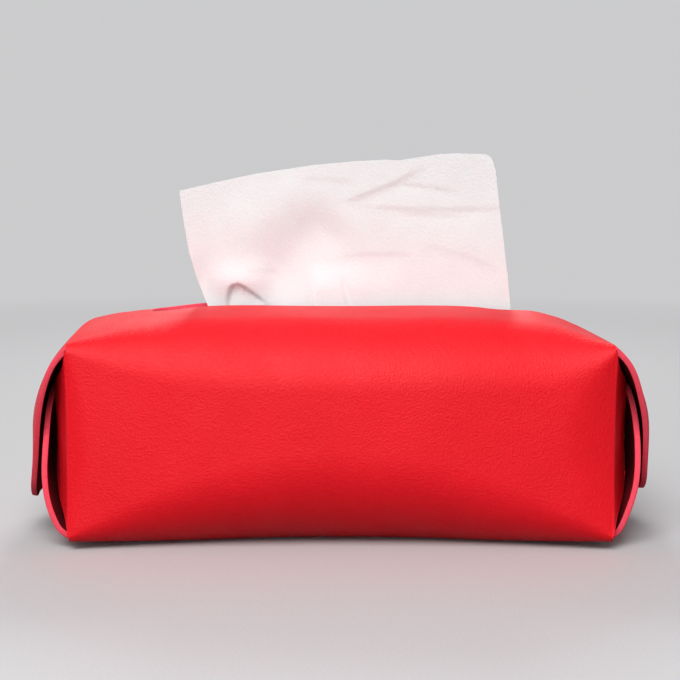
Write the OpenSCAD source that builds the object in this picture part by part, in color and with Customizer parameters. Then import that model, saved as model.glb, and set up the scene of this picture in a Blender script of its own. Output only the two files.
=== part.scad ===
// Tissue box cover of stiff leather, wrapped round a pack of tissues.
// The long axis is X, the front panel faces -Y and the underside rests on Z = 0.
// Each end closes with two side tabs, an inner flap and an outer flap with a snap fastener.

/* [Cover] */
// Length between the two end folds
cover_length = 205; // [190:1:225]
// Depth between the front and back folds at each end
end_depth = 110; // [104:1:125]
// Height of the top corners above the surface that the cover stands on
corner_height = 78.2; // [74:0.1:84]
// Height of the two ends of the underside above that surface
end_lift = 4.5; // [0.5:0.1:6]
// Height of the middle of the top
crest_height = 88.5; // [84:0.1:94]
// How far the left end fold arches up between its corners
crown_left = 3.5; // [0.5:0.1:5]
// How much lower the right end fold's back corner lies than its front corner
drop_right = 3.6; // [0:0.1:4.5]
// How far the front and back lean out at mid length
belly = 3.2; // [0:0.1:5]
// Extra swell of the front and back at mid height
swell = 1.3; // [0:0.1:3]
// Thickness of the leather
leather = 2.2; // [1.6:0.1:2.4]
// Outer radius of the long edges at the end folds
fold_radius = 2.7; // [2.5:0.1:4]
// Outer radius of the long edges at mid length
roll_radius = 24; // [16:0.5:27]

/* [Slot] */
// Length of the slot, with its round ends
slot_length = 150; // [146:1:156]
// Width of the slot
slot_width = 16; // [15:0.5:22]
// Distance of the slot's middle from the cover's middle, towards the left
slot_shift = 1; // [0:0.5:3]

/* [End flaps] */
// How far the outer flap stands out from the end fold
outer_bulge = 18.9; // [17:0.1:22]
// Height above which the outer flap curves in to its fold
outer_straight = 42; // [41.8:0.1:48]
// Height of the left outer flap's tip
tip_left = 16.5; // [15:0.1:22]
// Height of the right outer flap's tip
tip_right = 19.8; // [15:0.1:22]
// How far the left outer flap's tip stands away from the inner flap
flare_left = 1.5; // [0:0.1:3]
// Height below which the inner flap curves in to its fold
inner_straight = 29; // [26:0.1:29.2]
// Height of the inner flap's tip
inner_tip = 58.5; // [54:0.1:62]
// Gap between the two flaps at the snap
flap_gap = 2.4; // [2.4:0.1:3.4]
// Half of a flap's width at its tip
tip_half = 26; // [22:0.5:32]
// Corner radius of a flap's tip
tip_radius = 8; // [4:0.5:12]
// How far a flap's two edges bend in towards the cover
flap_crown = 1.8; // [0:0.1:2.5]
// How far the inner flap's fold stops short of each corner
inner_inset = 6; // [3:0.5:10]

/* [Side tabs] */
// Length of a side tab from its fold
tab_reach = 30; // [24:0.5:34]
// Angle between a folded tab and the cover's length
tab_fold = 76; // [72:1:82]
// Distance of a tab's root from the top and bottom folds
tab_margin = 8; // [7.5:0.5:12]
// How far each edge of a tab slopes in along its reach
tab_taper = 10; // [6:0.5:14]
// Corner radius of a tab
tab_radius = 5; // [2:0.5:8]

/* [Snap fasteners] */
// Height of a snap's centre
snap_height = 35.3; // [35:0.1:35.5]
// Diameter of the cap
cap_width = 12.5; // [11:0.1:12.8]
// Height of the cap's dome
cap_height = 2.6; // [2:0.1:3.4]
// Thickness of the cap's metal
cap_wall = 0.5; // [0.3:0.05:0.7]
// Outer diameter of the hollow rivet posts
post_width = 3.8; // [3.4:0.1:4]
// Bore of the hollow rivet posts
post_bore = 2.6; // [2:0.1:3]
// Thickness of each pressed plate and rolled rim
plate = 0.4; // [0.3:0.05:0.45]
// Diameter of the socket's back plate
socket_width = 11.4; // [11:0.1:12]
// Outer diameter of the socket's ring
ring_width = 10; // [9.8:0.1:10.4]
// Height of the socket's ring below its plate
ring_height = 1.5; // [1.4:0.05:1.55]
// Diameter of the socket's hollow
socket_hollow = 7.8; // [7.6:0.1:8]
// Diameter of the spring's wire
spring_wire = 0.5; // [0.4:0.05:0.55]
// Diameter of the stud's plate
stud_width = 10.4; // [9.6:0.1:11]
// Diameter of the stud's knob
knob_width = 5.6; // [5.4:0.1:5.7]
// Height of the stud's knob above its plate
knob_height = 1; // [0.8:0.05:1.05]
// Diameter of the stud's rivet head
rivet_width = 9; // [7:0.1:10]

/* [Seam] */
// Width over which the two edges of the leather lap under the cover
lap = 12; // [8:0.5:16]
// Length over which the inner layer climbs onto the outer one
joggle = 5; // [4:0.5:8]
// Distance between stitches
stitch_pitch = 5; // [4:0.25:8]
// Thickness of the thread
thread = 0.8; // [0.5:0.05:1]
// Distance of the stitches from the lapped edge
stitch_inset = 3; // [2:0.25:3.5]

/* [Tissues] */
// Length of the stack, which is a tissue's width
stack_length = 133; // [120:1:135]
// Distance between the front fold at each end and the front of the stack
side_room = 6.25; // [6:0.25:10]
// Height from the top of the stack to the crest of the cover
head_room = 17.7; // [17:0.1:36]
// Radius to which the rolled leather turns up the stack's long lower edges
stack_round = 9; // [8:0.5:12]
// Highest point of the tissue that is pulled up through the slot
tissue_top = 149; // [120:1:160]
// Height of the pulled tissue's low left corner
tissue_corner = 134.3; // [110:1:140]
// Thickness of the pulled tissue with its air
tissue_thickness = 0.8; // [0.6:0.05:1.2]
// Depth of the pulled tissue's folds
tissue_fold = 3.6; // [1:0.1:4.4]

/* [Hidden] */

// Clearance between two pieces that meet at a fold
fold_gap = 0.15;
// Clearance of a rivet post in its hole, on the diameter
post_play = 0.2;
// Thickness of the glue line in the lap
glue = 0.1;
// Clearance between the stack and what lies below and above it
rest_gap = 0.3;
// Overrun of every cut
cut = 1;
// Half of the cover's length
half_length = cover_length / 2;
// Half of the length over which the underside lies flat
flat_half = stack_length / 2 + leather;
// Depth of the stack, which is half of a tissue's length
stack_depth = end_depth - 2 * side_room;
// Levels of the stack's underside, just above the lapped leather, and of its top
stack_base = 2 * leather + glue + rest_gap;
stack_top = crest_height - head_room;
stack_height = stack_top - stack_base;
// Powers of the curves along the cover
roll_power = 1.6;
crest_power = 4;
// Heights of the dome over the top's shoulders at mid length
dome_height = 3.5;

leather_red = [0.93, 0.11, 0.17];
lining_red = [0.62, 0.03, 0.07];
brass = [0.83, 0.66, 0.32];
tissue_white = [0.97, 0.94, 0.95];
thread_red = [0.75, 0.06, 0.12];

// The step counts of the curved sheets
stations = 24;
roll_steps = 5;
panel_steps = 4;
top_steps = 12;
curve_rows = 7;
straight_rows = 2;
tip_rows = 4;
flap_columns = 12;
tissue_columns = 30;
tissue_rows = 14;

function flatten(lists) = [for (one = lists) each one];
function reversed(list) = [for (i = [len(list) - 1:-1:0]) list[i]];
function between(a, b, share) = a + (b - a) * share;
function pick(end, left, right) = end < 0 ? left : right;

// Faces of a wall swept through equal rings. A ring runs out along the wall's outer face
// and back along its inner face, and each flat end is closed across the wall.
function swept_faces(rings, count) = let (last = (rings - 1) * count) concat(
    [for (i = [0:count / 2 - 2]) let (a = i + 1, b = count - 1 - i)
        each [[a, i, b], [a, b, b - 1], [last + i, last + a, last + b],
            [last + a, last + b - 1, last + b]]],
    [for (r = [0:rings - 2]) for (i = [0:count - 1])
        let (a = r * count + i, b = r * count + (i + 1) % count)
        each [[a, b, b + count], [a, b + count, a + count]]]);

// Faces of a sheet with an outer and an inner grid of points.
function sheet_faces(rows, columns) = let (n = rows * columns,
    grid = [for (r = [0:rows - 2]) for (c = [0:columns - 2])
        let (a = r * columns + c)
        each [[a, a + 1, a + columns + 1], [a, a + columns + 1, a + columns]]],
    rim = concat(
        [for (c = [0:columns - 1]) c],
        [for (r = [1:rows - 1]) r * columns + columns - 1],
        [for (c = [columns - 2:-1:0]) (rows - 1) * columns + c],
        [for (r = [rows - 2:-1:1]) r * columns]))
    concat(grid,
        [for (f = grid) [f[0] + n, f[2] + n, f[1] + n]],
        [for (i = [0:len(rim) - 1])
            let (a = rim[i], b = rim[(i + 1) % len(rim)])
            each [[a, a + n, b + n], [a, b + n, b]]]);

module sheet(outer, inner, rows, columns, turned = false) {
    faces = sheet_faces(rows, columns);
    polyhedron(points = concat(outer, inner),
        faces = turned ? [for (f = faces) reversed(f)] : faces, convexity = 6);
}

// Places a right-hand piece at the right or the left end.
module at_end(end) {
    mirror([end < 0 ? 1 : 0, 0, 0]) children();
}

// Outline of the cover along its length
function along(x) = abs(x) / half_length;
function low_level(x) =
    end_lift * pow(max(0, abs(x) - flat_half) / (half_length - flat_half), 2);
function half_depth(x) = end_depth / 2 + belly * (1 - pow(along(x), 2));
function roll(x) = between(roll_radius, fold_radius, pow(along(x), roll_power));
function shoulder(x) =
    between(crest_height - dome_height, corner_height, pow(along(x), crest_power));
function dome(x) = between(dome_height, x < 0 ? crown_left : 0, pow(along(x), crest_power));
function drop(x) = x < 0 ? 0 : drop_right * pow(along(x), crest_power);

// A point of a square section is swollen at the front and back, and the top is domed and,
// at the right, tilted down to the back.
function shaped(x, y, z) = let (
    a = half_depth(x),
    low = low_level(x),
    middle = (shoulder(x) + low) / 2,
    up = (z - middle) / (shoulder(x) - middle),
    side = y / a)
    [y + sign(y) * swell * (1 - pow(along(x), 2)) * pow(side, 4) * (1 - pow(up, 2)),
     z + (dome(x) * (1 - pow(side, 2)) - drop(x) * (1 + side) / 2) * pow(max(0, up), 4)];

function arc(y, z, r, from) =
    [for (k = [0:roll_steps]) let (t = from - 90 * k / roll_steps)
        [y + r * cos(t), z + r * sin(t)]];

// The shallow groove that the stitches lie in
groove_middle = -lap / 2 + rest_gap + stitch_inset;
groove_half = thread * 0.8;
groove_depth = thread + glue;

// The leather's outer face, from the lapped edge inside round to the edge outside.
function body_path(x) = let (
    a = half_depth(x), r = roll(x), low = low_level(x), high = shoulder(x))
    concat(
        arc(-(a - r), low + r, r, 270),
        [for (k = [1:panel_steps - 1])
            [-a, between(low + r, high - r, k / panel_steps)]],
        arc(-(a - r), high - r, r, 180),
        [for (k = [1:top_steps - 1]) [between(-(a - r), a - r, k / top_steps), high]],
        arc(a - r, high - r, r, 90),
        [for (k = [1:panel_steps - 1])
            [a, between(high - r, low + r, k / panel_steps)]],
        arc(a - r, low + r, r, 0));
function outer_path(x, depth) = let (low = low_level(x), step = leather + glue)
    concat(
        [[lap / 2, low + step], [-lap / 2, low + step], [-lap / 2 - joggle, low]],
        [for (p = body_path(x)) shaped(x, p[0], p[1])],
        [[groove_middle + groove_half, low],
         [groove_middle + thread / 2, low + depth],
         [groove_middle - thread / 2, low + depth],
         [groove_middle - groove_half, low],
         [-lap / 2 + rest_gap, low]]);

// The same path, one thickness of leather further in.
function inner_path(path) = [for (i = [0:len(path) - 1]) let (
    d = path[min(i + 1, len(path) - 1)] - path[max(i - 1, 0)],
    n = [d[1], -d[0]] / norm(d))
    path[i] + leather * n];

module wrap() {
    rings = [for (s = [0:stations]) let (
        x = between(-half_length, half_length, s / stations),
        inner = inner_path(outer_path(x, 0)))
        [for (p = concat(outer_path(x, groove_depth), reversed(inner))) [x, p[0], p[1]]]];
    cut_base = crest_height - dome_height - 3 * leather;
    cut_height = 3 * leather + dome_height + cut;
    color(leather_red)
    difference() {
        polyhedron(points = flatten(rings),
            faces = swept_faces(stations + 1, len(rings[0])), convexity = 8);
        translate([-slot_shift, 0, cut_base]) {
            translate([-(slot_length - slot_width) / 2, -slot_width / 2, 0])
                cube([slot_length - slot_width, slot_width, cut_height]);
            for (side = [-1, 1])
                translate([side * (slot_length - slot_width) / 2, 0, 0])
                    cylinder(d = slot_width, h = cut_height, $fn = 48);
        }
    }
}

// One row of short stitches that follows the underside along the lap.
module seam_stitches() {
    run = cover_length - 2 * stitch_pitch;
    count = floor(run / stitch_pitch);
    stitch = stitch_pitch * 0.78;
    color(thread_red)
    for (k = [0:count - 1]) {
        x = (k - (count - 1) / 2) * stitch_pitch;
        rise = low_level(x + stitch / 2) - low_level(x - stitch / 2);
        translate([x, groove_middle, low_level(x) + thread / 2 + glue / 2])
            rotate([0, 90 - atan2(rise, stitch), 0])
                cylinder(d = thread - glue, h = stitch, center = true, $fn = 16);
    }
}

// Half of a flap's width at a height, between its fold and its tip
function flap_half(z, root, tip, root_half) =
    between(root_half, tip_half, (z - root) / (tip - root));

// Half of the width that lies flat under a snap
snap_seat = cap_width / 2 + glue;

// The rows of a flap as [height, half width], from its fold to its round tip
function flap_rows(root, straight, tip, root_half) = let (
    way = sign(tip - root), last = tip - way * tip_radius,
    flat_end = way * min(way * snap_height + snap_seat, way * last - tip_radius / 4),
    heights = concat(
        [for (i = [0:curve_rows - 1]) between(root, straight, i / curve_rows)],
        [straight],
        [for (i = [0:straight_rows]) between(flat_end, last, i / straight_rows)]))
    concat(
        [for (z = heights) [z, flap_half(z, root, tip, root_half)]],
        [for (i = [1:tip_rows]) let (t = 90 * i / tip_rows, z = last + way * tip_radius * sin(t))
            [z, flap_half(z, root, tip, root_half) - tip_radius * (1 - cos(t))]]);

// How far the outer flap has curved in at a height, towards its fold
function outer_curve(z) =
    outer_bulge * pow(max(0, (z - outer_straight) / (corner_height - outer_straight)), 2);

// A flap bows out from its fold in a parabola and then hangs straight. Its middle is flat
// under the snap and its two edges bend in. With nod, its tip follows the outer flap's curve.
module flap(root, straight, tip, bulge, root_half, arch = 0, tilt = 0, flare = 0, nod = false) {
    rows = flap_rows(root, straight, tip, root_half);
    flare_from = snap_height - snap_seat;
    way = sign(root - straight);
    function curve(z) = max(0, (z - straight) / (root - straight));
    function lean(z) = 2 * bulge * curve(z) / (root - straight);
    function edge(y, w) = max(0, abs(y) - snap_seat) / (w - snap_seat);
    function flared(z) = flare * pow(max(0, (flare_from - z) / (flare_from - tip)), 2);
    outer = [for (row = rows) for (c = [0:flap_columns]) let (
        z = row[0], w = row[1], t = curve(z),
        y = w * (2 * c / flap_columns - 1))
        [half_length + fold_gap + (bulge - flap_crown * pow(edge(y, w), 2)) * (1 - t * t)
            + flared(z) - (nod ? outer_curve(z) : 0),
         y, z + t * (arch * (1 - pow(2 * y / end_depth, 2)) - tilt * (1 + 2 * y / end_depth) / 2)]];
    inner = [for (i = [0:len(outer) - 1]) let (
        p = outer[i], s = lean(rows[floor(i / (flap_columns + 1))][0]))
        i <= flap_columns
        ? [p[0], p[1], p[2] - way * leather * sqrt(1 + s * s) / abs(s)]
        : p - leather * [1, 0, s] / sqrt(1 + s * s)];
    sheet(outer, inner, len(rows), flap_columns + 1, turned = root < tip);
}

// A hole or a snap piece is turned on the snap's axis, with 0 at the outer flap's face.
module on_snap() {
    translate([half_length + fold_gap + outer_bulge, 0, snap_height])
        rotate([0, 90, 0]) children();
}

module snap_hole(top) {
    on_snap() translate([0, 0, top - leather - cut])
        cylinder(d = post_width + post_play, h = leather + 2 * cut, $fn = 32);
}

// Level of the inner flap's outer face on the snap's axis
inner_face = -leather - flap_gap;
inner_bulge = outer_bulge + inner_face;

module top_flap(end) {
    at_end(end) color(leather_red)
    difference() {
        flap(root = corner_height, straight = outer_straight, tip = pick(end, tip_left, tip_right),
            bulge = outer_bulge, root_half = end_depth / 2 - fold_radius / 2,
            arch = pick(end, crown_left, 0), tilt = pick(end, 0, drop_right),
            flare = pick(end, flare_left, 0));
        snap_hole(0);
    }
}

module bottom_flap(end) {
    at_end(end) color(leather_red)
    difference() {
        flap(root = end_lift, straight = inner_straight, tip = inner_tip,
            bulge = inner_bulge, root_half = end_depth / 2 - inner_inset, nod = true);
        snap_hole(inner_face);
    }
}

// A tab is a flat plate whose outer face starts at the corner fold. Its root is mitred.
module side_tab(end, side) {
    low = end_lift + tab_margin;
    high = corner_height - tab_margin;
    c = cos(tab_fold);
    s = sin(tab_fold);
    root = leather * s / c;
    plan = [[0, 0], tab_reach * [c, s], tab_reach * [c, s] + leather * [-s, c],
        [0, leather * c + root * s]];
    at_end(end) mirror([0, side > 0 ? 1 : 0, 0])
    translate([half_length + fold_gap, -end_depth / 2, 0])
    color(lining_red)
    intersection() {
        linear_extrude(height = corner_height) polygon(plan);
        rotate([0, 0, tab_fold]) rotate([90, 0, 0])
            translate([0, 0, -leather - cut])
                linear_extrude(height = 2 * (leather + cut)) tab_outline(low, high);
    }
}

module tab_outline(low, high) {
    slope = tab_taper / tab_reach;
    near = tab_reach - tab_radius;
    rise = tab_taper * near / tab_reach;
    polygon([[0, low], [near, low + rise], [near, high - rise], [0, high]]);
    polygon([[near - slope, low + rise + tab_radius], [tab_reach, low + rise + tab_radius],
        [tab_reach, high - rise - tab_radius], [near - slope, high - rise - tab_radius]]);
    for (z = [low + rise + tab_radius, high - rise - tab_radius])
        translate([near, z]) circle(r = tab_radius, $fn = 32);
}

// The hollow dome, its rivet post through the leather and the rolled end inside the socket
module snap_cap(end) {
    r = cap_width / 2;
    dome_radius = (r * r + cap_height * cap_height) / (2 * cap_height);
    post_end = -leather - 2 * plate;
    at_end(end) on_snap() color(brass) {
        difference() {
            intersection() {
                translate([0, 0, cap_height - dome_radius]) sphere(r = dome_radius, $fn = 64);
                cylinder(d = cap_width, h = cap_height + cut, $fn = 64);
            }
            difference() {
                intersection() {
                    translate([0, 0, cap_height - dome_radius])
                        sphere(r = dome_radius - cap_wall, $fn = 64);
                    translate([0, 0, -cut])
                        cylinder(d = cap_width, h = cap_height + cut, $fn = 64);
                }
                cylinder(d = post_width, h = cap_height, $fn = 32);
            }
        }
        difference() {
            union() {
                translate([0, 0, post_end])
                    cylinder(d = post_width, h = cap_height - cap_wall - post_end, $fn = 32);
                translate([0, 0, post_end])
                    cylinder(d = post_width + 4 * plate, h = plate, $fn = 32);
            }
            translate([0, 0, post_end - cut])
                cylinder(d = post_bore, h = leather + 2 * plate + cut, $fn = 32);
        }
    }
}

// The socket's plate behind the leather, and the ring that the stud's knob goes into
module snap_socket(end) {
    floor_level = -leather - plate;
    groove = spring_wire + glue;
    at_end(end) on_snap() color(brass)
    difference() {
        union() {
            translate([0, 0, floor_level]) cylinder(d = socket_width, h = plate, $fn = 48);
            translate([0, 0, floor_level - ring_height])
                cylinder(d = ring_width, h = ring_height + plate / 2, $fn = 48);
        }
        translate([0, 0, floor_level - cut])
            cylinder(d = post_width + post_play, h = plate + 2 * cut, $fn = 32);
        translate([0, 0, floor_level - ring_height - cut])
            cylinder(d = socket_hollow, h = ring_height + cut, $fn = 48);
        translate([0, 0, floor_level - ring_height + plate])
            cylinder(d = socket_hollow + 2 * spring_wire, h = groove, $fn = 48);
    }
}

// The split ring of spring wire in the socket's groove, drawn open as over the knob
module snap_spring(end) {
    level = -leather - plate - ring_height + plate + (spring_wire + glue) / 2;
    opening = 40;
    at_end(end) on_snap() color(brass)
    translate([0, 0, level]) rotate([0, 0, opening / 2])
        rotate_extrude(angle = 360 - opening, $fn = 48)
            translate([socket_hollow / 2 + spring_wire / 4, 0])
                circle(d = spring_wire, $fn = 16);
}

// The stud's plate on the inner flap and its knob
module snap_stud(end) {
    at_end(end) on_snap() color(brass)
    difference() {
        translate([0, 0, inner_face]) {
            cylinder(d = stud_width, h = plate, $fn = 48);
            cylinder(d = knob_width, h = plate + knob_height, $fn = 48);
        }
        translate([0, 0, inner_face - cut])
            cylinder(d = post_width + post_play, h = plate + knob_height + 2 * cut, $fn = 32);
        translate([0, 0, inner_face + knob_height])
            cylinder(d = knob_width - 2 * plate, h = plate + cut, $fn = 32);
    }
}

// The rivet that holds the stud: a head behind the inner flap, a post and a rolled rim
module snap_rivet(end) {
    back = inner_face - leather;
    rim = inner_face + knob_height;
    at_end(end) on_snap() color(brass)
    difference() {
        union() {
            translate([0, 0, back - plate]) cylinder(d = rivet_width, h = plate, $fn = 48);
            translate([0, 0, back - plate]) cylinder(d = post_width, h = rim - back + plate, $fn = 32);
            translate([0, 0, rim]) cylinder(d = knob_width - 2 * plate - glue, h = plate, $fn = 32);
        }
        translate([0, 0, back])
            cylinder(d = post_bore, h = rim - back + plate + cut, $fn = 32);
    }
}

// The stack lies in the middle of the cover, with soft upright edges. Its lowest tissues
// turn up at the front and back, where the leather rolls round them.
module tissue_stack() {
    corner = leather;
    color(tissue_white)
    translate([0, 0, stack_base]) intersection() {
        linear_extrude(height = stack_height)
            round_plan(stack_length, stack_depth, corner, [-1, 1]);
        rotate([90, 0, 90])
            translate([0, stack_height / 2, -stack_length])
                linear_extrude(height = 2 * stack_length)
                    round_plan(stack_depth, stack_height, stack_round, [-1]);
    }
}

// A rectangle with round corners at its lower, upper or all sides
module round_plan(wide, high, r, sides) {
    flat = high - len(sides) * r;
    middle = len(sides) == 1 ? -sides[0] * r / 2 : 0;
    translate([0, middle]) square([wide, flat], center = true);
    square([wide - 2 * r, high], center = true);
    for (x = [-1, 1]) for (y = sides)
        translate([x * (wide / 2 - r), y * (high / 2 - r)]) circle(r = r, $fn = 32);
}

// The pulled tissue's left and right edges as shares of its width, at the slot and at its top
tissue_middle = 4;
slot_edge_shares = [-0.432, 0.49];
top_edge_shares = [-0.516, 0.436];
// The folds as [place along the width, depth, width], all as shares
fold_shares = [[0.1, 1, 0.08], [0.24, -0.75, 0.09], [0.42, 0.85, 0.1], [0.62, -0.5, 0.12],
    [0.84, 0.4, 0.14]];

function tissue_edge(c, up) = tissue_middle + stack_length * between(
    between(slot_edge_shares[0], slot_edge_shares[1], c),
    between(top_edge_shares[0], top_edge_shares[1], c), up);
function tissue_height(c) =
    between(tissue_corner, tissue_top, 1 - pow(1 - c, 2))
    - stack_depth * 0.09 * pow(max(0, (c - 0.9) / 0.1), 3);
function tissue_wave(c, up) = tissue_fold * (1 - 0.65 * up) *
    sum_folds(c, 0) + tissue_fold * 0.8 * up * up;
function sum_folds(c, k) = k == len(fold_shares) ? 0
    : fold_shares[k][1] * exp(-pow((c - fold_shares[k][0]) / fold_shares[k][2], 2))
        + sum_folds(c, k + 1);

// The pulled tissue is one thin sheet with its main folds, from the stack up through the slot.
module pulled_tissue() {
    base = stack_top + rest_gap;
    middle = [for (r = [0:tissue_rows]) for (i = [0:tissue_columns]) let (
        c = i / tissue_columns,
        z = between(base, tissue_height(c), r / tissue_rows),
        up = max(0, (z - crest_height) / (tissue_top - crest_height)))
        [tissue_edge(c, up), -tissue_wave(c, up), z]];
    half = [0, tissue_thickness / 2, 0];
    color(tissue_white)
    sheet([for (p = middle) p - half], [for (p = middle) p + half],
        tissue_rows + 1, tissue_columns + 1, turned = true);
}

wrap();
seam_stitches();
tissue_stack();
pulled_tissue();
top_flap(-1);  // top_flap_left
top_flap(1);  // top_flap_right
bottom_flap(-1);  // bottom_flap_left
bottom_flap(1);  // bottom_flap_right
side_tab(-1, -1);  // side_tab_front_left
side_tab(1, -1);  // side_tab_front_right
side_tab(-1, 1);  // side_tab_back_left
side_tab(1, 1);  // side_tab_back_right
snap_cap(-1);  // snap_cap_left
snap_cap(1);  // snap_cap_right
snap_socket(-1);  // snap_socket_left
snap_socket(1);  // snap_socket_right
snap_spring(-1);  // snap_spring_left
snap_spring(1);  // snap_spring_right
snap_stud(-1);  // snap_stud_left
snap_stud(1);  // snap_stud_right
snap_rivet(-1);  // snap_rivet_left
snap_rivet(1);  // snap_rivet_right
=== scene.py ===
"""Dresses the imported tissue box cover: leather with thickness and grain, layered tissues, brass snaps."""
import math

import bpy
import numpy as np
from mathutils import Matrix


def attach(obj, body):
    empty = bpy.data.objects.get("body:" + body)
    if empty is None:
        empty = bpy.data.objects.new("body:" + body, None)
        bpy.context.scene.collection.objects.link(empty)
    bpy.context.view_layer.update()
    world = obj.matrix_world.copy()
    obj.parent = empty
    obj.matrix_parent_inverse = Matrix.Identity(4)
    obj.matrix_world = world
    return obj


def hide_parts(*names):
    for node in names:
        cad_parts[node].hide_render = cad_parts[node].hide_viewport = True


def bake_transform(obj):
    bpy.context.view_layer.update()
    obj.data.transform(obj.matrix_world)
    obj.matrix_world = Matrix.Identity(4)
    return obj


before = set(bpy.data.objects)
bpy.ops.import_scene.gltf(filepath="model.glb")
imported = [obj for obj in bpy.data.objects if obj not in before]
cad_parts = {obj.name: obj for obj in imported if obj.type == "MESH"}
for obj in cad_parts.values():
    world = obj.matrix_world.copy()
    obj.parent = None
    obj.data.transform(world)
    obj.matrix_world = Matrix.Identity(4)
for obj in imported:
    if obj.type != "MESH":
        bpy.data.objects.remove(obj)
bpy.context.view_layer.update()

# Everything below is in millimetres until a mesh is made. Most of these sizes are those of the solids. Those
# of the rolls, the ends' lift and drop, the dome, the flat length, the tabs' bend and the stack's lower edges
# were fitted later.
METRE = 0.001
HALF = 102.5
END_DEPTH = 110.0
CORNER = 78.2
LIFT = 3.3
CREST = 88.5
DOME = 4.2
CROWN_LEFT = 3.5
DROP_RIGHT = 3.2
BELLY = 3.2
SWELL = 1.3
LEATHER = 2.2
FOLD_RADIUS = 2.7
ROLL_RADIUS = 23.0
LOWER_HEIGHT = 38.0
LOWER_DEPTH = 31.5
ROLL_POWER = 2.2
CREST_POWER = 4
FLAT_HALF = 45.0
LAP = 12.0
JOGGLE = 5.0
GLUE = 0.1
LAP_EDGE = -5.7
SLOT_LENGTH = 150.0
SLOT_WIDTH = 16.0
SLOT_MIDDLE = -1.0
STACK_LENGTH = 133.0
STACK_DEPTH = 97.5
STACK_BASE = 4.8
STACK_TOP = 70.8
STACK_ROUND = 24.0
OUTER_MIDDLE = 121.55
INNER_MIDDLE = 116.95
OUTER_STRAIGHT = 42.0
INNER_STRAIGHT = 29.0
INNER_TIP = 58.5
TIP_HALF = 26.0
TIP_RADIUS = 8.0
SNAP_SEAT = 6.35
SNAP_HEIGHT = 35.3
TAB_REACH = 30.0
TAB_MARGIN = 8.0
TAB_TAPER = 10.0
TAB_RADIUS = 5.0
TAB_BEND = 1.6
TAB_ANGLE = 74.0
CURL_POWER = 1.8
EDGE_ROUND = 0.4
TINY = 1e-9

# What differs between the two ends, as seen in the photo. outer and inner are the front edges of the outer
# and the inner flap, as (x, z) points from the fold to the tip.
ENDS = {
    "left": dict(
        side=-1, tip=14.7, flare=1.5, curl=2.2, reach=9.0, roll_power=3.5,
        outer=((HALF, CORNER), (105.7, 75.1), (108.8, 71.3), (111.0, 66.7), (112.7, 61.9), (114.2, 57.0),
               (115.4, 52.0), (116.3, 47.0), (117.1, 42.0), (117.9, 36.9), (118.7, 31.8), (119.7, 26.6),
               (120.7, 21.3), (122.3, 14.7)),
        inner=((HALF, LIFT), (105.6, 4.3), (108.2, 6.8), (110.2, 11.0), (111.8, 15.3), (112.9, 19.6),
               (113.5, 23.9), (113.8, 28.2), (113.9, 32.6), (113.8, 36.9), (113.8, 41.3), (113.8, 45.7),
               (113.8, 50.1), (113.7, 54.5), (113.5, INNER_TIP))),
    "right": dict(
        side=1, tip=17.6, flare=0.0, curl=3.6, reach=21.0, roll_power=7,
        outer=((HALF, CORNER), (106.2, 75.2), (109.2, 71.2), (111.4, 66.5), (113.0, 61.6), (114.4, 56.7),
               (115.8, 51.8), (116.7, 46.8), (117.5, 41.7), (118.1, 36.6), (118.6, 31.5), (119.1, 26.3),
               (120.1, 17.6)),
        inner=((HALF, LIFT), (105.2, 4.2), (107.3, 6.7), (109.2, 11.0), (110.8, 15.3), (112.3, 19.6),
               (113.3, 23.9), (113.8, 28.2), (114.1, 32.6), (114.3, 36.9), (114.4, 41.3), (114.3, 46.0),
               (114.1, 52.0), (113.8, INNER_TIP)))}


def between(a, b, share):
    """The value at a share of the way from a to b."""
    return a + (b - a) * share


def smooth(share):
    """A share that starts and ends gently, held between 0 and 1."""
    share = np.clip(share, 0, 1)
    return share * share * (3 - 2 * share)


# Materials

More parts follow.
